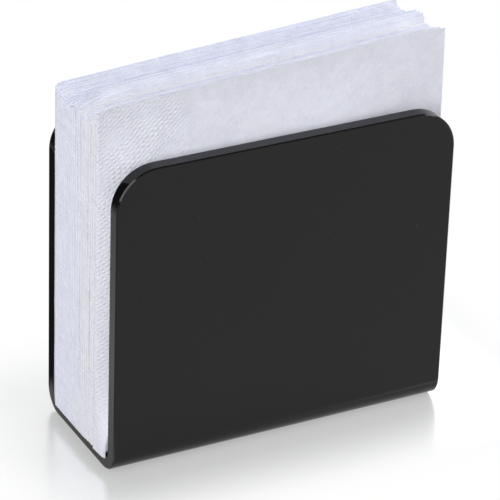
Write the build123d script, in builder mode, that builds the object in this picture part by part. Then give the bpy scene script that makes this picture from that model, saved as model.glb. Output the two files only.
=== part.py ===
"""Napkin holder: one strip of black acrylic sheet, line-bent twice into a U that is open at both ends,
loaded with a row of paper napkins folded in quarters.

Millimetres. X runs along the holder, the front wall faces -Y, Z is up.
The origin is the middle of the base's underside.
"""
from build123d import *
from math import acos, atan, atan2, cos, degrees, sin, sqrt, tan
import os

# Holder
width = 150
depth = 64
height = 136
sheet = 6
bend_inner_radius = 4
corner_radius = 17.5
edge_bevel = 0.5

# Napkins: a fold stands at the left end, the open edges at the right end
row_count = 23
napkin_height = 144
leaf = 0.3
leaf_step = 0.8
skew_rise = 9

# How the napkins stand in the channel
rear_gap = 0.8
napkin_gap = 0.35
seat_gap = 0.3
left_overhang = 2
flush_count = 3

# Small packs of napkins stand a little higher than their neighbours
pack_end_shares = (0.5, 0.68, 1.0)
pack_rises = (0, 5, 2)
ragged_rise = 0.6
ragged_turn = 2.4

# The front napkin's fold hangs open at the foot and is pressed flat at the top
front_gap = 2
front_fold_spread = 8.6
front_overhang = 1.5
front_rise = 7

# Worked out from the sizes above
holder_left = -width / 2
channel_half = depth / 2 - sheet
front_rear = front_gap + front_fold_spread - channel_half
row_rear = channel_half - rear_gap
pitch = (row_rear - front_rear) / row_count
napkin_thickness = pitch - napkin_gap
napkin_width = width + left_overhang
base_seat = sheet + seat_gap
overrun = sheet


def seat_height(y):
    """Height of a napkin's foot that keeps the seat gap to the base and to the bends beside it."""
    into_bend = max(0, abs(y) - channel_half + bend_inner_radius)
    reach = bend_inner_radius - seat_gap
    return sheet + bend_inner_radius - sqrt(reach**2 - into_bend**2)


def pack_rise(index):
    """How much higher a napkin of the row stands than the rearmost pack."""
    share = index / row_count
    for end_share, rise in zip(pack_end_shares, pack_rises):
        if share < end_share:
            break
    return rise + ragged_rise * sin(ragged_turn * index)


def cut_above(left, rear, edge_height, reach):
    """Cuts off what stands in front of the plane y = rear and over a top edge that rises from the fold."""
    slope = skew_rise / napkin_width
    low_end = left - overrun
    high_end = left + napkin_width + overrun
    ceiling = edge_height + skew_rise + 2 * overrun
    with BuildSketch(Plane.XZ.offset(-rear)) as scrap:
        with BuildLine():
            Polyline(
                (low_end, edge_height - slope * overrun),
                (high_end, edge_height + skew_rise + slope * overrun),
                (high_end, ceiling),
                (low_end, ceiling),
                close=True,
            )
        make_face()
    extrude(scrap.sketch, amount=reach, mode=Mode.SUBTRACT)


def trim_top(left, rear, edge_height, reach):
    """Cuts the top edge askew, and the front leaf a step lower than the rear one."""
    cut_above(left, rear + overrun, edge_height, reach + 2 * overrun)
    cut_above(left, rear - napkin_thickness / 2, edge_height - leaf_step, reach + overrun)


def make_napkin(left, rear, rise):
    """A napkin of the row: a hairpin of one doubled leaf, upright, with the fold at the left."""
    right = left + napkin_width
    front = rear - napkin_thickness
    middle = (rear + front) / 2
    turn = left + napkin_thickness / 2
    inner_rear = rear - leaf
    inner_front = front + leaf
    foot = max(seat_height(rear), seat_height(front))
    edge_height = base_seat + napkin_height + rise

    with BuildPart() as napkin:
        with BuildSketch(Plane.XY.offset(foot)):
            with BuildLine():
                Line((right, inner_rear), (right, rear))
                Line((right, rear), (turn, rear))
                ThreePointArc((turn, rear), (left, middle), (turn, front))
                Line((turn, front), (right, front))
                Line((right, front), (right, inner_front))
                Line((right, inner_front), (turn, inner_front))
                ThreePointArc((turn, inner_front), (left + leaf, middle), (turn, inner_rear))
                Line((turn, inner_rear), (right, inner_rear))
            make_face()
        extrude(amount=edge_height + skew_rise - foot)
        trim_top(left, rear, edge_height, napkin_thickness)
    return napkin.part


def make_front_napkin(left, rear, rise, spread):
    """The front napkin: its two leaves part towards the foot, and its fold is a cone that touches both."""
    front = rear - spread
    foot = max(seat_height(rear), seat_height(front))
    edge_height = base_seat + napkin_height + rise
    ceiling = edge_height + skew_rise

    # The planes of the two leaves meet in a line over the napkin, and the fold's apex is its left end
    opening = atan2(spread - napkin_thickness, ceiling - foot)
    lean = opening / 2
    apex = Vector(left, rear, foot + spread / tan(opening))
    down = Vector(0, -sin(lean), -cos(lean))
    cone_angle = atan(sin(lean))
    axis_down = down * cos(cone_angle) + Vector(1, 0, 0) * sin(cone_angle)
    rear_line = Vector(sin(cone_angle), 0, -cos(lean) * cos(cone_angle))
    fold_plane = Plane(origin=apex, x_dir=axis_down, z_dir=axis_down.cross(rear_line))
    full_turn = 2 * degrees(acos(-sin(lean) ** 2))
    leaf_across = leaf / cos(cone_angle)
    near_end = (apex.Z - ceiling - overrun) / cos(lean)
    far_end = (apex.Z - foot + 2 * overrun) / cos(lean)

    def turn(z):
        """Where the rear leaf leaves the fold."""
        return left + (apex.Z - z) * tan(lean)

    with BuildPart() as napkin:
        with BuildSketch(Plane.XZ.offset(-rear)):
            with BuildLine():
                Polyline(
                    (turn(foot - overrun), foot - overrun),
                    (left + napkin_width, foot - overrun),
                    (left + napkin_width, ceiling),
                    (turn(ceiling), ceiling),
                    close=True,
                )
            make_face()
        extrude(amount=leaf)
        mirror(about=Plane(origin=apex, x_dir=(1, 0, 0), z_dir=(0, cos(lean), -sin(lean))))
        with BuildSketch(fold_plane):
            with BuildLine():
                Polyline(
                    (near_end, near_end * tan(cone_angle)),
                    (far_end, far_end * tan(cone_angle)),
                    (far_end, far_end * tan(cone_angle) - leaf_across),
                    (near_end, near_end * tan(cone_angle) - leaf_across),
                    close=True,
                )
            make_face()
        revolve(axis=Axis(apex, -axis_down), revolution_arc=full_turn)
        split(bisect_by=Plane.XY.offset(foot), keep=Keep.TOP)
        trim_top(left, rear, edge_height, spread)
    return napkin.part


os.makedirs("parts", exist_ok=True)

# The bent strip, with rounded top corners on both walls and a small polished bevel round every edge
with BuildPart() as holder:
    with BuildSketch(Plane.YZ):
        with BuildLine():
            FilletPolyline(
                (-channel_half, height),
                (-channel_half, sheet),
                (channel_half, sheet),
                (channel_half, height),
                radius=bend_inner_radius,
            )
            offset(amount=sheet, side=Side.RIGHT)
        make_face()
    extrude(amount=width / 2, both=True)
    fillet(holder.edges().filter_by(Axis.Y).group_by(Axis.Z)[-1], radius=corner_radius)
    end_faces = holder.faces().filter_by(Axis.X)
    corner_faces = holder.faces().filter_by(GeomType.CYLINDER).group_by(Axis.Z)[-1]
    top_faces = holder.faces().filter_by(Axis.Z).group_by(Axis.Z)[-1]
    rim = (end_faces + corner_faces + top_faces).edges()
    corner_seams = rim.filter_by(Axis.Y).filter_by_position(Axis.Z, height / 2, height)
    chamfer([edge for edge in rim if edge not in corner_seams], length=edge_bevel)
holder.part.label = "holder"
export_step(holder.part, "parts/holder.step")

# The row of napkins, from the rear wall forwards
for index in range(row_count):
    napkin_left = holder_left - left_overhang * min(1, index / flush_count)
    napkin_rear = row_rear - index * pitch
    napkin_part = make_napkin(napkin_left, napkin_rear, pack_rise(index))
    napkin_part.label = f"napkin_{index + 1:02d}"
    export_step(napkin_part, f"parts/{napkin_part.label}.step")

# The front napkin, whose foot has slid forward to the front wall
front_napkin = make_front_napkin(holder_left - front_overhang, front_rear, front_rise, front_fold_spread)
front_napkin.label = "front_napkin"
export_step(front_napkin, "parts/front_napkin.step")
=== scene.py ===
"""Looks of the napkin holder: polished black acrylic, and soft paper napkins folded in quarters."""
import math
import random

import bmesh
import bpy
import numpy as np
from mathutils import Matrix, Vector


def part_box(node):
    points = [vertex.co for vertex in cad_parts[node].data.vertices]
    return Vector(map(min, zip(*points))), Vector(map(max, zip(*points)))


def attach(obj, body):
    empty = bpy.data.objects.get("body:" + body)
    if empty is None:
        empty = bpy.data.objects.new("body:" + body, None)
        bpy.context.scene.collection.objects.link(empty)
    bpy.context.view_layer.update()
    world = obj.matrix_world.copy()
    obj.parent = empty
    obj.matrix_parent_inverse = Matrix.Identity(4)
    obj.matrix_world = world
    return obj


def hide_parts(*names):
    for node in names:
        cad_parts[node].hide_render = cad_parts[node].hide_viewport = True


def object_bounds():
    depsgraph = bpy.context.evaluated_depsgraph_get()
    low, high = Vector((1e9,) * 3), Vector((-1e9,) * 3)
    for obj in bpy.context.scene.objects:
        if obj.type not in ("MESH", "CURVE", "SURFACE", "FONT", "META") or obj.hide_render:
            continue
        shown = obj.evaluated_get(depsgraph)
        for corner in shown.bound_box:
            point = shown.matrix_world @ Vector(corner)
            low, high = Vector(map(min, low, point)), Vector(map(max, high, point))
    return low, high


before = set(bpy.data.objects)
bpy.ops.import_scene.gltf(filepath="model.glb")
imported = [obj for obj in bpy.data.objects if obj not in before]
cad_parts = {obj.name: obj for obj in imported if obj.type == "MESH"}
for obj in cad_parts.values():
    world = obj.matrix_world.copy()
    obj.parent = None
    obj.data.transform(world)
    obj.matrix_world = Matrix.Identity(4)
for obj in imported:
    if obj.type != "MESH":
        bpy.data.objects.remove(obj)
cad_low, cad_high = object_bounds()

# The napkins are worked out in millimetres, everything else is in metres
MM = 0.001
TURN = 2 * math.pi
ROW = [f"napkin_{i:02d}" for i in range(1, 24)]
FRONT = "front_napkin"
WHITE = (1, 1, 1, 1)


def show(piece):
    bpy.context.scene.collection.objects.link(piece)


# Camera, solved from the straight edges of the holder in the photograph
PICTURE = 500
FOCAL = 3329.78
SENSOR = 36.0
AZIMUTH = math.radians(-28.0821)
ELEVATION = math.radians(28.4053)
ROLL = math.radians(1.99)
DISTANCE = 1.355805
TARGET = Vector((0.00048, 0.0, 0.071625))
CLIP = (0.05, 20.0)


def make_camera():
    back = Vector((
        math.sin(AZIMUTH) * math.cos(ELEVATION),
        -math.cos(AZIMUTH) * math.cos(ELEVATION),
        math.sin(ELEVATION),
    ))
    level = Vector((math.cos(AZIMUTH), math.sin(AZIMUTH), 0.0))
    upright = back.cross(level)
    right = math.cos(ROLL) * level + math.sin(ROLL) * upright
    up = math.cos(ROLL) * upright - math.sin(ROLL) * level
    data = bpy.data.cameras.new("camera")
    data.sensor_width = SENSOR
    data.lens = FOCAL * SENSOR / PICTURE
    data.clip_start, data.clip_end = CLIP
    camera = bpy.data.objects.new("camera", data)
    axes = Matrix((right, up, back)).transposed().to_4x4()
    camera.matrix_world = Matrix.Translation(TARGET + back * DISTANCE) @ axes
    show(camera)
    bpy.context.scene.camera = camera


make_camera()


class Nodes:
    """A node tree with short calls for the nodes that the materials here share."""

    def __init__(self, tree):
        self.tree = tree
        tree.nodes.clear()

    def add(self, kind, **values):
        node = self.tree.nodes.new(kind)
        for key, value in values.items():
            setattr(node, key, value)
        return node

    def link(self, a, b):
        self.tree.links.new(a, b)

    def fill(self, socket, value):
        if isinstance(value, bpy.types.NodeSocket):
            self.link(value, socket)
        else:
            socket.default_value = value

    def math(self, operation, *values, clamp=False):
        node = self.add("ShaderNodeMath", operation=operation, use_clamp=clamp)
        for socket, value in zip(node.inputs, values):
            self.fill(socket, value)
        return node.outputs[0]

    def plus(self, a, b, clamp=False):
        return self.math("ADD", a, b, clamp=clamp)

    def minus(self, a, b):
        return self.math("SUBTRACT", a, b)

    def times(self, a, b):
        return self.math("MULTIPLY", a, b)

    def smooth(self, value, start, end, low=0.0, high=1.0):
        """A smooth step from low to high while the value goes from start to end."""
        node = self.add("ShaderNodeMapRange", interpolation_type="SMOOTHSTEP")
        for socket, v in zip(node.inputs[:5], (value, start, end, low, high)):
            self.fill(socket, v)
        return node.outputs[0]

    def noise(self, vector, scale, detail, roughness):
        node = self.add("ShaderNodeTexNoise")
        self.link(vector, node.inputs["Vector"])
        node.inputs["Scale"].default_value = scale
        node.inputs["Detail"].default_value = detail
        node.inputs["Roughness"].default_value = roughness
        return node.outputs["Fac"]

    def mix(self, factor, a, b):
        node = self.add("ShaderNodeMix", data_type="RGBA")
        self.fill(node.inputs["Factor"], factor)
        self.fill(node.inputs[6], a)
        self.fill(node.inputs[7], b)
        return node.outputs[2]

    def blend(self, factor, a, b):
        node = self.add("ShaderNodeMixShader")
        self.fill(node.inputs[0], factor)
        self.link(a.outputs[0], node.inputs[1])
        self.link(b.outputs[0], node.inputs[2])
        return node

    def stretch(self, vector, scale):
        node = self.add("ShaderNodeVectorMath", operation="MULTIPLY")
        self.link(vector, node.inputs[0])
        node.inputs[1].default_value = scale
        return node.outputs[0]

    def bump(self, height, strength, distance, normal=None):
        node = self.add("ShaderNodeBump")
        node.inputs["Strength"].default_value = strength
        node.inputs["Distance"].default_value = distance
        self.link(height, node.inputs["Height"])
        if normal is not None:
            self.link(normal, node.inputs["Normal"])
        return node.outputs[0]


def new_material(name):
    material = bpy.data.materials.new(name)
    material.use_nodes = True
    n = Nodes(material.node_tree)
    shader = n.add("ShaderNodeBsdfPrincipled")
    out = n.add("ShaderNodeOutputMaterial")
    n.link(shader.outputs[0], out.inputs["Surface"])
    return material, n, shader


# Acrylic. The index of refraction is set by how weakly the front wall reflects in the photograph
BLACK = (0.0030, 0.0030, 0.0033, 1)
SMEARED_BLACK = (0.0048, 0.0048, 0.0051, 1)
DUST = (0.30, 0.30, 0.31, 1)
ACRYLIC_IOR = 1.35


def make_acrylic():
    """Polished black, with faint smears, specks of dust and hairline scratches."""
    material, n, shader = new_material("black_acrylic")
    place = n.add("ShaderNodeTexCoord").outputs["Object"]
    smears = n.noise(n.stretch(place, (1.0, 1.0, 0.55)), scale=26.0, detail=4.0, roughness=0.6)
    grain = n.noise(place, scale=420.0, detail=3.0, roughness=0.55)
    dust = n.noise(place, scale=900.0, detail=2.0, roughness=0.5)
    hairlines = n.noise(n.stretch(place, (14.0, 14.0, 900.0)), scale=1.0, detail=2.0, roughness=0.45)
    specks = n.smooth(dust, 0.735, 0.775)
    scratches = n.smooth(hairlines, 0.69, 0.74)

    dullness = n.smooth(smears, 0.3, 0.75, low=0.045, high=0.10)
    dullness = n.plus(dullness, n.times(grain, 0.02))
    dullness = n.plus(dullness, n.times(specks, 0.25))
    dullness = n.plus(dullness, n.times(scratches, 0.05))
    n.link(dullness, shader.inputs["Roughness"])

    tint = n.mix(smears, BLACK, SMEARED_BLACK)
    tint = n.mix(n.times(specks, 0.10), tint, DUST)
    n.link(tint, shader.inputs["Base Color"])
    shader.inputs["IOR"].default_value = ACRYLIC_IOR

    waviness = n.noise(place, scale=18.0, detail=1.0, roughness=0.4)
    wavy = n.bump(waviness, strength=0.10, distance=0.0006)
    n.link(n.bump(grain, strength=0.03, distance=0.00002, normal=wavy), shader.inputs["Normal"])
    return material


# Embossed border of the napkins: lines of short slanting dashes beside the fold, each shifted along itself.
# Lengths on the sheet are in millimetres. The last two pairs are where the cosine across a line of dashes and
# the one along it begin to rise and are full
DASH_PITCH = 1.5
DASH_LENGTH = 2.7
DASH_SLANT = math.radians(42)
SHIFT_TURN = 1.7
SHIFT_REACH = 9.0
BAND_FULL = 30.0
BAND_END = 44.0
BAND_REST = 0.10
LINE_EDGES = (-0.5, 0.9)
DASH_ENDS = (-0.6, 0.6)

# Paper
PAPER_DIM = (0.735, 0.748, 0.880, 1)
PAPER_LIGHT = (0.835, 0.848, 0.962, 1)
PAPER_FIBRE = (0.850, 0.860, 0.955, 1)
PAPER_DASH_HIGHLIGHT = (0.880, 0.890, 0.960, 1)
PAPER_YELLOWISH = (0.840, 0.825, 0.760, 1)
PAPER_ROUGHNESS = 0.92
PAPER_IOR = 1.3
PAPER_SHEEN = 0.15
PAPER_SHEEN_ROUGHNESS = 0.6


def make_paper():
    """White tissue. The mesh's sheet attribute has the place on the napkin, in millimetres, and its tone."""
    material, n, shader = new_material("tissue_paper")
    sheet = n.add("ShaderNodeAttribute", attribute_name="sheet")
    split = n.add("ShaderNodeSeparateXYZ")
    n.link(sheet.outputs["Vector"], split.inputs[0])
    across, up, tone = split.outputs
    place = n.add("ShaderNodeTexCoord").outputs["Object"]

    slant, level = math.sin(DASH_SLANT), math.cos(DASH_SLANT)
    beside = n.minus(n.times(up, level / DASH_PITCH), n.times(across, slant / DASH_PITCH))
    along = n.plus(n.times(up, slant / DASH_LENGTH), n.times(across, level / DASH_LENGTH))
    line = n.math("FLOOR", n.plus(beside, 0.5))
    shift = n.times(n.math("SINE", n.times(line, SHIFT_TURN)), SHIFT_REACH)
    lines = n.smooth(n.math("COSINE", n.times(beside, TURN)), *LINE_EDGES)
    pieces = n.smooth(n.math("COSINE", n.plus(n.times(along, TURN), shift)), *DASH_ENDS)
    band = n.smooth(n.math("ABSOLUTE", across), BAND_FULL, BAND_END, low=1.0, high=BAND_REST)
    wear = n.noise(place, scale=95.0, detail=1.0, roughness=0.5)
    emboss = n.times(n.times(lines, pieces), band)
    emboss = n.times(emboss, n.smooth(wear, 0.30, 0.58, low=0.25, high=1.0))

    fibre = n.noise(n.stretch(place, (1.0, 1.0, 0.45)), scale=1500.0, detail=3.0, roughness=0.6)
    mottle = n.noise(place, scale=170.0, detail=4.0, roughness=0.75)
    crinkle = n.noise(n.stretch(place, (1.0, 1.0, 0.6)), scale=130.0, detail=4.0, roughness=0.68)

    white = n.mix(n.smooth(mottle, 0.3, 0.7), PAPER_DIM, PAPER_LIGHT)
    white = n.mix(n.smooth(fibre, 0.35, 0.75, low=0.0, high=0.5), white, PAPER_FIBRE)
    # The embossed dashes are also painted lighter, a painted highlight on the raised paper on top of their
    # bump relief
    white = n.mix(n.times(emboss, 0.16), white, PAPER_DASH_HIGHLIGHT)
    white = n.mix(tone, white, PAPER_YELLOWISH)
    n.link(white, shader.inputs["Base Color"])
    shader.inputs["Roughness"].default_value = PAPER_ROUGHNESS
    shader.inputs["IOR"].default_value = PAPER_IOR
    shader.inputs["Sheen Weight"].default_value = PAPER_SHEEN
    shader.inputs["Sheen Roughness"].default_value = PAPER_SHEEN_ROUGHNESS

    bumps = n.bump(emboss, strength=0.6, distance=0.0002)
    bumps = n.bump(crinkle, strength=0.6, distance=0.0010, normal=bumps)
    bumps = n.bump(fibre, strength=0.7, distance=0.0002, normal=bumps)
    n.link(bumps, shader.inputs["Normal"])
    return material


acrylic = make_acrylic()
paper = make_paper()


# The bent strip
SMOOTH_WITHIN = math.radians(30)
WELD = 0.001 * MM


def round_normals(mesh):
    """Each corner's normal is the mean, by area, of the faces that meet there at a small angle to its own."""
    least = math.cos(SMOOTH_WITHIN)
    faces_at = [[] for _ in mesh.vertices]
    for face in mesh.polygons:
        for vertex in face.vertices:
            faces_at[vertex].append(face)
    normals = []
    for face in mesh.polygons:
        for vertex in face.vertices:
            total = Vector((0, 0, 0))
            for other in faces_at[vertex]:
                if other.normal.dot(face.normal) > least:
                    total = total + other.normal * other.area
            normals.append(total.normalized())
    mesh.normals_split_custom_set(normals)


def make_holder():
    """The bent strip as it is in the CAD model, with normals that run smoothly round bends and corners."""
    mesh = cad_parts["holder"].data.copy()
    mesh.name = "holder_strip"
    shape = bmesh.new()
    shape.from_mesh(mesh)
    bmesh.ops.remove_doubles(shape, verts=shape.verts, dist=WELD)
    shape.to_mesh(mesh)
    shape.free()
    mesh.materials.clear()
    mesh.materials.append(acrylic)
    mesh.shade_smooth()
    round_normals(mesh)
    piece = bpy.data.objects.new("holder_strip", mesh)
    show(piece)
    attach(piece, "holder")
    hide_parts("holder")


make_holder()


# Napkins: one sheet, folded at the foot and again at the left end, so four leaves stand side by side.
# GAP and SKEW are those of the CAD model: the space between napkins, and the rise of a top edge to the right
LEAVES = 4
LEAF = 0.30
GAP = 0.35
SLOT_PLAY = 0.06
SKEW = 9.0
TOE_DEPTH = 0.24
LEAST_NOSE = 0.25
LEAST_HALF = 0.2
SHARP_OVER = math.radians(55)
FOLD_SAMPLES = 721
RIPPLE_SIZE = 0.75
TINY = 1e-12

# How far each leaf's edges look up their waves from the other leaves'
RIGHT_EDGE_SHIFT = (40, 90)
TOP_EDGE_SHIFT = (55, -70)

# How far the embossed lines waver, how they are worn, and where the leaf that shows them begins at the fold
DRIFT = 0.2
WORN_LEAST = 0.3
WEAR_RANGE = (-0.6, 0.5)
SHOWN_RANGE = (-0.95, -0.3)
OUTERMOST = 0.99


def smoothstep(value, start, end):
    share = np.clip((value - start) / (end - start), 0.0, 1.0)
    return share * share * (3 - 2 * share)


def around(base, span):
    """The start and end of a span of lengths that is counted from a base."""
    return base + span[0], base + span[1]


def ripples(rng, shortest, longest, count=6):
    """A smooth random surface between about -1 and 1 over two lengths in millimetres."""
    waves = []
    for _ in range(count):
        angle = rng.uniform(0, math.pi)
        turn = TURN / rng.uniform(shortest, longest)
        waves.append((turn * math.cos(angle), turn * math.sin(angle), rng.uniform(0, TURN)))

    def height(a, b):
        return sum(np.sin(p * a + q * b + r) for p, q, r in waves) / math.sqrt(count) * RIPPLE_SIZE

    return height


def turn_profile(count, squareness, depth=1.0):
    """A fold from one leaf to the other in even steps.

    Gives how far across each step stands, from 1 to -1, and how far along the leaves, from 0 at the nose.
    """
    angle = np.linspace(math.pi / 2, -math.pi / 2, FOLD_SAMPLES)
    across = np.sign(np.sin(angle)) * np.abs(np.sin(angle)) ** squareness
    along = 1 - np.abs(np.cos(angle)) ** squareness
    length = np.concatenate([[0], np.cumsum(np.hypot(np.diff(across), depth * np.diff(along)))])
    even = np.linspace(0, length[-1], count)
    return np.interp(even, length, across), np.interp(even, length, along)


def fold_stops(first, fold, second):
    """Stops on one leaf, as shares of its length, then the fold, then the stops on the other leaf."""
    fold_across, fold_along = fold
    across = np.concatenate([np.ones(len(first)), fold_across, -np.ones(len(second))])
    along = np.concatenate([np.ones(len(first)), fold_along, np.ones(len(second))])
    reach = np.concatenate([first[::-1], np.zeros(len(fold_across)), second])
    return across, along, reach


def dash_pattern(across, up):
    """The embossed dashes as relief, the same ones that make_paper paints."""
    slant, level = math.sin(DASH_SLANT), math.cos(DASH_SLANT)
    beside = (up * level - across * slant) / DASH_PITCH
    along = (up * slant + across * level) / DASH_LENGTH
    shift = SHIFT_REACH * np.sin(SHIFT_TURN * np.floor(beside + 0.5))
    lines = smoothstep(np.cos(TURN * beside), *LINE_EDGES)
    return lines * smoothstep(np.cos(TURN * along + shift), *DASH_ENDS)


def grid_normals(points):
    normal = np.cross(np.gradient(points, axis=1), np.gradient(points, axis=0))
    return normal / np.maximum(np.linalg.norm(normal, axis=2, keepdims=True), TINY)


def sheet_object(name, points, stamp):
    """A closed thin mesh round a grid of points in millimetres."""
    half_leaf = grid_normals(points) * LEAF / 2
    rows, columns = points.shape[:2]
    vertices = np.concatenate([(points + half_leaf).reshape(-1, 3), (points - half_leaf).reshape(-1, 3)])
    index = np.arange(rows * columns).reshape(rows, columns)
    quads = np.stack([index[:-1, :-1], index[:-1, 1:], index[1:, 1:], index[1:, :-1]], axis=-1).reshape(-1, 4)
    rim = np.concatenate([index[0, :], index[1:, -1], index[-1, -2::-1], index[-2:0:-1, 0]])
    following = np.roll(rim, -1)
    back = rows * columns
    rims = np.stack([rim, rim + back, following + back, following], axis=-1)
    faces = np.concatenate([quads, quads[:, ::-1] + back, rims])
    mesh = bpy.data.meshes.new(name)
    mesh.from_pydata((vertices * MM).tolist(), [], faces.tolist())
    mesh.update()
    mesh.shade_smooth()
    mesh.set_sharp_from_angle(angle=SHARP_OVER)
    sheet = mesh.attributes.new("sheet", "FLOAT_VECTOR", "POINT")
    both = np.concatenate([stamp.reshape(-1, 3)] * 2).astype(np.float32)
    sheet.data.foreach_set("vector", both.ravel())
    mesh.materials.append(paper)
    piece = bpy.data.objects.new(name, mesh)
    show(piece)
    return piece


def fold_sheet(name, size, columns, rows, form):
    """Folds one napkin. size has its place in millimetres, form how loosely it is folded."""
    side, nose, reach = (stops[None, :] for stops in columns)
    layer, toe, climb = (stops[:, None] for stops in rows)
    left, right, middle, foot, top = (size[k] for k in ("left", "right", "middle", "foot", "top"))
    outer = (1 + layer) / 2
    rear = (1 + side) / 2

    def leaf_values(values):
        """One value for each leaf: rear outer, rear inner, front inner, front outer."""
        a, b, c, d = values
        return outer * (rear * a + (1 - rear) * d) + (1 - outer) * (rear * b + (1 - rear) * c)

    def only(i):
        """1 on one leaf and 0 on the others."""
        return leaf_values([1.0 if k == i else 0.0 for k in range(LEAVES)])

    def edge_shift(shifts):
        """Sets the waves of the leaves' edges apart."""
        return shifts[0] * side + shifts[1] * layer

    nose_z = foot + climb * (top - foot)
    half_nose = form["half"](nose_z) + form["step"] * (layer - 1)
    nose_length = np.maximum(half_nose, LEAST_NOSE) * form["nose_share"]
    start = left + form["inset"] * (1 - outer) + form["left_play"](nose_z)
    edge = right + leaf_values(form["right_edges"]) + form["edge_play"](nose_z, edge_shift(RIGHT_EDGE_SHIFT))
    x = start + nose_length * nose + reach * (edge - start - nose_length)

    share = (x - left) / (right - left)
    crest = top + SKEW * share + leaf_values(form["top_edges"]) - form["droop"](x)
    crest = crest + form["edge_play"](x, edge_shift(TOP_EDGE_SHIFT))
    low_foot = foot - form["overhang_drop"](x)
    z = low_foot + TOE_DEPTH * toe + climb * (crest - low_foot - TOE_DEPTH)

    half = form["half"](z) + form["step"] * (layer - 1)
    y = middle(z) + np.maximum(half, LEAST_HALF) * side - form["belly"](x, z) * (1 - rear)
    y = y + sum(form["waves"][i] * only(i) * form["fields"][i](x, z) for i in range(LEAVES))
    if form["limit"]:
        y = np.clip(y, middle(z) - form["limit"], middle(z) + form["limit"])
    points = np.stack(np.broadcast_arrays(x, y, z), axis=-1)

    # The place on the sheet: how far from the fold, along the leaf, and how high
    steps = np.hypot(np.diff(points[..., 0], axis=1), np.diff(points[..., 1], axis=1))
    run = np.pad(np.cumsum(steps, axis=1), ((0, 0), (1, 0)))
    run = run - run[:, [np.argmin(nose)]]
    run, height = run + DRIFT * form["drift"](run, z), z + DRIFT * form["drift"](z, run)
    stamp = np.stack(np.broadcast_arrays(run, height, size["tone"] + 0 * x), axis=-1)

    if form["emboss"]:
        band = 1 - (1 - BAND_REST) * smoothstep(np.abs(run), BAND_FULL, BAND_END)
        worn = WORN_LEAST + (1 - WORN_LEAST) * smoothstep(form["wear"](run, z), *WEAR_RANGE)
        shown = smoothstep(form["shown"] * side, *SHOWN_RANGE) * (outer > OUTERMOST)
        raised = form["emboss"] * dash_pattern(run, height) * band * worn * shown
        outward = grid_normals(points)
        facing = np.sign((outward[..., 1:2] * side[..., None]).sum())
        points = points + outward * (facing * raised)[..., None]
    return sheet_object(name, points, stamp)


# How far along a leaf, as shares, the rows and columns of the meshes stand
ROW_REACH = np.concatenate([
    [0.006, 0.015, 0.03, 0.055, 0.09],
    np.linspace(0.14, 0.93, 17),
    [0.965, 0.985, 1.0],
])
ROW_CLIMB = np.concatenate([
    [0.008, 0.02, 0.045],
    np.linspace(0.09, 0.88, 19),
    [0.915, 0.94, 0.96, 0.975, 0.99, 1.0],
])
ROW_NOSE = 0.55
ROW_FOLD = turn_profile(11, 0.5, ROW_NOSE)
ROW_COLUMNS = fold_stops(ROW_REACH, ROW_FOLD, ROW_REACH)
TOE = turn_profile(7, 1.0)
ROW_ROWS = fold_stops(ROW_CLIMB, TOE, ROW_CLIMB)
FINE_STEP = 0.45
FINE_START = 0.6
FINE_PAST_BAND = 4
FINE_FROM = 0.80
FINE_TO = 0.99

# The row, counted from 0 at the rear wall: the tone of yellowish napkins and the most that others have, the
# first one of those whose folds stand unevenly, how unevenly these and the others stand, and which ones stand
# further in
WARM = {
    13: 0.12, 14: 0.12, 15: 0.18, 16: 0.45, 17: 0.14,
    18: 0.16, 19: 0.22, 20: 0.52, 21: 0.18, 22: 0.42,
}
MOST_TONE = 0.06
UNEVEN_FROM = 13
UNEVEN_PLAY = 0.45
EVEN_PLAY = 0.07
INWARD = 0.45
INWARD_RANGE = (17, 22)
ROW_SEED = 100
REAR_EMBOSS = 0.12

# How a fold stands aside over its foot, and how a top edge drops at the fold and where it stands over the row
ASIDE_RANGE = (4, 45)
ASIDE_WAVE = 0.5
FOLD_DROOP = 1.2
FOLD_DROOP_RANGE = (-0.3, 2.6)
OVER_SHARE = 0.75
OVER_RANGE = (0, 16)
HALF_PLAY = 0.03


def fine_reach(leaf_width):
    """Stops that are close enough for the embossed border."""
    fine = np.arange(FINE_START, BAND_END + FINE_PAST_BAND, FINE_STEP) / leaf_width
    return np.concatenate([fine, np.linspace(fine[-1] + 0.016, 0.94, 34), [0.955, 0.97, 0.985, 1.0]])


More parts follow.
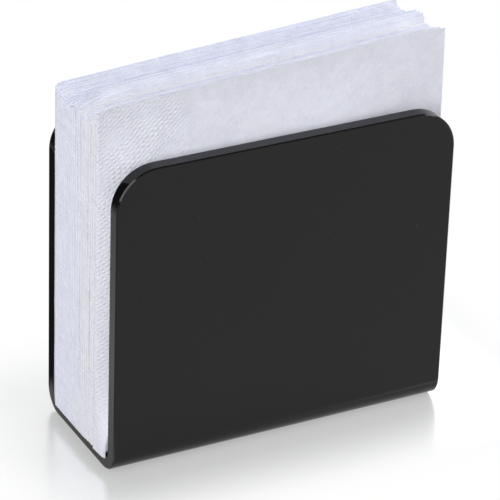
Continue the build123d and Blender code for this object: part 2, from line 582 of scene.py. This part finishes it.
def make_row_napkin(index, name):
    rng = random.Random(ROW_SEED + index)
    low, high = (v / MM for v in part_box(name))
    foot = low.z + LEAF / 2
    middle = (low.y + high.y) / 2
    room = (high.y - low.y) / 2 + GAP / 2 - SLOT_PLAY / 2 - LEAF / 2
    uneven = UNEVEN_PLAY if index >= UNEVEN_FROM else EVEN_PLAY
    size = {
        "left": low.x - LEAF / 2 + INWARD * smoothstep(index, *INWARD_RANGE),
        "right": high.x,
        "middle": lambda z: middle + 0 * z,
        "foot": foot,
        "top": high.z - SKEW,
        "tone": WARM.get(index, rng.uniform(0.0, MOST_TONE)),
    }
    aside = rng.uniform(-uneven, uneven)
    stands_over = OVER_SHARE * max(0.0, (high.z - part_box(ROW[0])[1].z / MM))
    left_wave = ripples(rng, 60, 160)
    edge_wave = ripples(rng, 25, 90)

    def left_play(z):
        """The fold stands aside and waves a little, except at the foot."""
        waving = aside + ASIDE_WAVE * uneven * left_wave(z, 0 * z)
        return waving * smoothstep(z, *around(foot, ASIDE_RANGE))

    def droop(x):
        """The top edge drops at the fold, and further back where the napkin stands over the row."""
        at_fold = FOLD_DROOP * (1 - smoothstep(x, *around(low.x, FOLD_DROOP_RANGE)))
        return at_fold + stands_over * (1 - smoothstep(x, *around(low.x, OVER_RANGE)))

    form = {
        "half": lambda z: room - HALF_PLAY + 0 * z,
        "step": 0.22,
        "nose_share": ROW_NOSE,
        "inset": 0.33,
        "left_play": left_play,
        "right_edges": [rng.uniform(-0.9, 0.3) for _ in range(LEAVES)],
        "top_edges": [rng.uniform(*span) for span in ((-0.2, 0.2), (-0.5, 0.1), (-0.6, 0.1), (-0.4, 0.2))],
        "edge_play": lambda a, b: 0.10 * edge_wave(a, b),
        "droop": droop,
        "overhang_drop": lambda x: 0 * x,
        "belly": lambda x, z: 0 * x * z,
        "waves": [0.05, 0.05, 0.05, 0.05],
        "fields": [ripples(rng, 45, 120) for _ in range(LEAVES)],
        "limit": room,
        "emboss": 0.0,
        "shown": 1,
        "wear": ripples(rng, 12, 34),
        "drift": ripples(rng, 8, 24),
    }
    columns, rows = ROW_COLUMNS, ROW_ROWS
    if index == 0:
        # The rearmost napkin shows its embossed border over the rear wall
        form["emboss"] = REAR_EMBOSS
        leaf_height = size["top"] - size["foot"]
        columns = fold_stops(fine_reach(high.x - low.x), ROW_FOLD, ROW_REACH)
        near_top = np.arange(FINE_FROM, FINE_TO, FINE_STEP / leaf_height)
        rear_climb = np.concatenate([ROW_CLIMB[ROW_CLIMB < FINE_FROM - 0.005], near_top, [0.995, 1.0]])
        rows = fold_stops(rear_climb, TOE, ROW_CLIMB)
    return fold_sheet(name + "_sheet", size, columns, rows, form)


# The front napkin: its fold, and its distance from the wall in the CAD model
FRONT_SEED = 7
FRONT_NOSE = 0.4
FRONT_HALF = 1.25
FRONT_NARROWS = 0.2
FRONT_TOP_SPREAD = 2.1
FRONT_REAR_PLAY = 0.05
CAD_WALL_GAP = 2.0
FRONT_TONE = 0.15
FRONT_EMBOSS = 0.14

# How near its front leaf comes to the wall, where it leaves the wall towards its open end and the wall's top,
# how it stands over the bend, and how far from the fold it gets to the wall, at the foot and higher up
WALL_PLAY = 0.35
LEAN_POWER = 1.25
OPEN_END_RANGE = (-50, -4)
WALL_TOP_RANGE = (-32, 24)
BEND_RANGE = (0, 2.4)
SWING_LOW = 0.7
SWING_MORE = 14.3
SWING_RANGE = (1, 40)

# Where it hangs over the holder's end and how far down, and how its top edge drops at its two ends
HOLDER_END_RANGE = (-0.5, -0.2)
OVERHANG_DROP = 1.4
OPEN_END_DROOP = 1.6
OPEN_END_DROOP_RANGE = (-9, 0)
FRONT_DROOP = 1.5
FRONT_DROOP_RANGE = (-0.3, 3.5)


def make_front_napkin():
    rng = random.Random(FRONT_SEED)
    low, high = (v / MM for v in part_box(FRONT))
    foot, top = low.z + LEAF / 2, high.z - SKEW
    rear = high.y - LEAF / 2 + FRONT_REAR_PLAY
    foot_front = low.y + LEAF / 2
    top_front = rear - FRONT_TOP_SPREAD
    wall_touch = low.y - CAD_WALL_GAP + LEAF + WALL_PLAY
    wall_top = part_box("holder")[1].z / MM
    holder_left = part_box("holder")[0].x / MM

    def half(z):
        return FRONT_HALF - FRONT_NARROWS * smoothstep(z, foot, top)

    def past_holder(x):
        """1 where the fold hangs over the holder's end, 0 inside the channel."""
        return 1 - smoothstep(x, *around(holder_left, HOLDER_END_RANGE))

    def belly(x, z):
        """The front leaf swings from the fold to the wall, and leans back on the row over it."""
        height = np.clip((z - foot) / (top + SKEW - foot), 0, 1)
        leaning = foot_front + (top_front - foot_front) * (1 - (1 - height) ** LEAN_POWER)
        pressed = 1 - smoothstep(x, *around(high.x, OPEN_END_RANGE))
        below_top = 1 - smoothstep(z, *around(wall_top, WALL_TOP_RANGE))
        over_bend = np.maximum(smoothstep(z, *around(foot, BEND_RANGE)), past_holder(x))
        front = leaning + (wall_touch - leaning) * pressed * below_top * over_bend
        reach = SWING_LOW + SWING_MORE * smoothstep(z, *around(foot, SWING_RANGE))
        swing = 1 - (1 - np.clip((x - low.x) / reach, 0, 1)) ** 2
        return (rear - 2 * half(z) - front) * swing

    def droop(x):
        """The top edge drops at its open end and at the fold."""
        at_end = OPEN_END_DROOP * smoothstep(x, *around(high.x, OPEN_END_DROOP_RANGE))
        return at_end + FRONT_DROOP * (1 - smoothstep(x, *around(low.x, FRONT_DROOP_RANGE)))

    size = {
        "left": low.x - LEAF / 2,
        "right": high.x,
        "middle": lambda z: rear - half(z),
        "foot": foot,
        "top": top,
        "tone": FRONT_TONE,
    }
    left_wave = ripples(rng, 70, 150)
    edge_wave = ripples(rng, 25, 90)
    leaf_height = top - foot
    fine_climb = np.arange(2.2, leaf_height - 1.2, FINE_STEP) / leaf_height
    climb = np.concatenate([[0.004, 0.01], fine_climb, [0.994, 1.0]])
    inner_climb = np.concatenate([[0.004, 0.01, 0.02], np.linspace(0.04, 0.97, 40), [0.985, 1.0]])
    columns = fold_stops(ROW_REACH, turn_profile(17, 0.6, FRONT_NOSE), fine_reach(high.x - low.x))
    rows = fold_stops(climb, TOE, inner_climb)
    form = {
        "half": half,
        "step": 0.21,
        "nose_share": FRONT_NOSE,
        "inset": 0.36,
        "left_play": lambda z: 0.15 * left_wave(z, 0 * z),
        "right_edges": [-0.6, -0.9, -0.4, 0.2],
        "top_edges": [-0.3, -0.6, -0.5, 0.0],
        "edge_play": lambda a, b: 0.12 * edge_wave(a, b),
        "droop": droop,
        "overhang_drop": lambda x: OVERHANG_DROP * past_holder(x),
        "belly": belly,
        "waves": [0.05, 0.06, 0.10, 0.24],
        "fields": [ripples(rng, 45, 120) for _ in range(3)] + [ripples(rng, 16, 48)],
        "limit": None,
        "emboss": FRONT_EMBOSS,
        "shown": -1,
        "wear": ripples(rng, 12, 34),
        "drift": ripples(rng, 8, 24),
    }
    return fold_sheet(FRONT + "_sheet", size, columns, rows, form)


def dress(piece, node):
    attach(piece, node)
    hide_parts(node)


for row_index, row_node in enumerate(ROW):
    dress(make_row_napkin(row_index, row_node), row_node)
dress(make_front_napkin(), FRONT)


# Stage: a pale polished floor that turns into the white background away from the holder
FLOOR_HALF = 3.0
FLOOR_DROP = 0.0001
FLOOR_BOUNCE = (0.20, 0.20, 0.20, 1)
FLOOR_PLAIN = (0.88, 0.88, 0.88, 1)
MIRROR_ROUGHNESS = 0.22
MIRROR_SHARE = 0.34
MIRROR_END = 0.042
SHADOW_SHARE = 0.40
SHADOW_END = 0.060

# Painted reflection: reflections see the floor painted dim towards the rear left of the studio, and a painted
# dark patch there in place of a dark card, while the eye sees the floor unchanged
PAINTED_DIM_REACH = (-0.05, 0.58)
PAINTED_DIM_LEAST = 0.05
PAINTED_DIM_MOST = 0.97
PAINTED_PATCH_SLOPE = 2.1
PAINTED_PATCH_SIDE = (-0.168, -0.142)
PAINTED_PATCH_FRONT = (0.078, 0.098)


def make_floor():
    mesh = bpy.data.meshes.new("floor")
    h = FLOOR_HALF
    mesh.from_pydata([(-h, -h, 0), (h, -h, 0), (h, h, 0), (-h, h, 0)], [], [(0, 1, 2, 3)])
    floor = bpy.data.objects.new("floor", mesh)
    floor.location.z = -FLOOR_DROP
    show(floor)
    material = bpy.data.materials.new("floor")
    material.use_nodes = True
    n = Nodes(material.node_tree)
    bounce = n.add("ShaderNodeBsdfDiffuse")
    bounce.inputs["Color"].default_value = FLOOR_BOUNCE
    plain = n.add("ShaderNodeBsdfDiffuse")
    plain.inputs["Color"].default_value = FLOOR_PLAIN
    mirror = n.add("ShaderNodeBsdfGlossy")
    mirror.inputs["Color"].default_value = WHITE
    mirror.inputs["Roughness"].default_value = MIRROR_ROUGHNESS
    white = n.add("ShaderNodeEmission")
    white.inputs["Color"].default_value = WHITE

    place = n.add("ShaderNodeSeparateXYZ")
    n.link(n.add("ShaderNodeNewGeometry").outputs["Position"], place.inputs[0])
    x, y = place.outputs[0], place.outputs[1]
    beside = n.math("MAXIMUM", n.minus(n.math("ABSOLUTE", x), cad_high.x), 0.0)
    ahead = n.math("MAXIMUM", n.minus(n.math("ABSOLUTE", y), cad_high.y), 0.0)
    away = n.math("SQRT", n.plus(n.math("POWER", beside, 2.0), n.math("POWER", ahead, 2.0)))

    path = n.add("ShaderNodeLightPath")
    rear_left = n.times(n.minus(y, x), math.sqrt(0.5))
    behind = n.plus(y, n.times(x, PAINTED_PATCH_SLOPE))
    # Painted dark reflection: a dark patch and a dimming to the rear left that only glossy rays see on the
    # floor
    painted_dark_patch = n.times(n.smooth(behind, *PAINTED_PATCH_SIDE), n.smooth(rear_left, *PAINTED_PATCH_FRONT, low=0.0, high=PAINTED_DIM_MOST))
    painted_dim = n.math("MAXIMUM", n.smooth(rear_left, *PAINTED_DIM_REACH, low=PAINTED_DIM_LEAST, high=PAINTED_DIM_MOST), painted_dark_patch)
    bright = n.minus(1.0, n.times(path.outputs["Is Glossy Ray"], painted_dim))
    n.link(bright, white.inputs["Strength"])
    shadow_share = n.times(n.smooth(away, 0.0, SHADOW_END, low=SHADOW_SHARE, high=0.0), bright)
    mirror_share = n.times(n.smooth(away, 0.0, MIRROR_END, low=MIRROR_SHARE, high=0.0), bright)
    shaded = n.blend(shadow_share, white, plain)
    polished = n.blend(mirror_share, shaded, mirror)

    seen = n.plus(path.outputs["Is Camera Ray"], path.outputs["Is Glossy Ray"], clamp=True)
    seen = n.plus(seen, path.outputs["Is Transmission Ray"], clamp=True)
    out = n.add("ShaderNodeOutputMaterial")
    n.link(n.blend(seen, bounce, polished).outputs[0], out.inputs["Surface"])
    mesh.materials.append(material)


# The world is white to the eye. Reflections also see a dark ceiling and a dark screen at the rear left
AMBIENT = 0.26
MIRRORED_WHITE = 0.85
MIRRORED_CEILING = 0.15
MIRRORED_SCREEN = 0.01
CEILING_RISE = (0.60, 0.85)
SCREEN_WAY = Vector((-0.56, 0.79, 0.27)).normalized()
SCREEN_EDGE = (0.60, 0.76)


def make_world():
    world = bpy.data.worlds.new("studio")
    world.use_nodes = True
    bpy.context.scene.world = world
    n = Nodes(world.node_tree)
    path = n.add("ShaderNodeLightPath")
    way = n.add("ShaderNodeTexCoord").outputs["Generated"]
    rise = n.add("ShaderNodeSeparateXYZ")
    n.link(way, rise.inputs[0])
    facing = n.add("ShaderNodeVectorMath", operation="DOT_PRODUCT")
    n.link(way, facing.inputs[0])
    facing.inputs[1].default_value = SCREEN_WAY
    ceiling = n.smooth(rise.outputs[2], *CEILING_RISE, low=MIRRORED_WHITE, high=MIRRORED_CEILING)
    screen = n.smooth(facing.outputs["Value"], *SCREEN_EDGE, low=1.0, high=MIRRORED_SCREEN)
    mirrored = n.times(ceiling, screen)

    glossy = path.outputs["Is Glossy Ray"]
    seen = n.plus(path.outputs["Is Camera Ray"], path.outputs["Is Transmission Ray"], clamp=True)
    direct = n.plus(n.times(seen, 1.0 - AMBIENT), AMBIENT)
    level = n.plus(n.times(glossy, mirrored), n.times(n.minus(1.0, glossy), direct))
    back = n.add("ShaderNodeBackground")
    back.inputs["Color"].default_value = WHITE
    n.link(level, back.inputs["Strength"])
    out = n.add("ShaderNodeOutputWorld")
    n.link(back.outputs[0], out.inputs["Surface"])


# Square lamps that look at the middle of the holder: name, place, side, watts, colour
AIM = Vector((0.0, 0.0, 0.08))
PLAIN_LIGHT = (1.0, 1.0, 1.0)
COOL_LIGHT = (0.80, 0.93, 1.0)
LAMPS = [
    ("key", (-2.69, -1.41, 1.49), 2.8, 102.0, PLAIN_LIGHT),
    ("fill", (0.92, -0.57, 0.53), 0.75, 7.0, PLAIN_LIGHT),
    ("rear", (1.35, 1.12, 0.48), 1.1, 11.0, PLAIN_LIGHT),
    ("top", (0.1, 0.3, 1.8), 1.2, 8.4, COOL_LIGHT),
]


def make_lamp(name, place, side, watts, colour):
    data = bpy.data.lights.new(name, "AREA")
    data.shape = "RECTANGLE"
    data.size = side
    data.size_y = side
    data.energy = watts
    data.color = colour
    lamp = bpy.data.objects.new(name, data)
    lamp.location = place
    lamp.rotation_euler = (AIM - Vector(place)).to_track_quat("-Z", "Y").to_euler()
    show(lamp)


make_floor()
make_world()
for lamp_values in LAMPS:
    make_lamp(*lamp_values)

bpy.context.scene.view_settings.view_transform = "Standard"
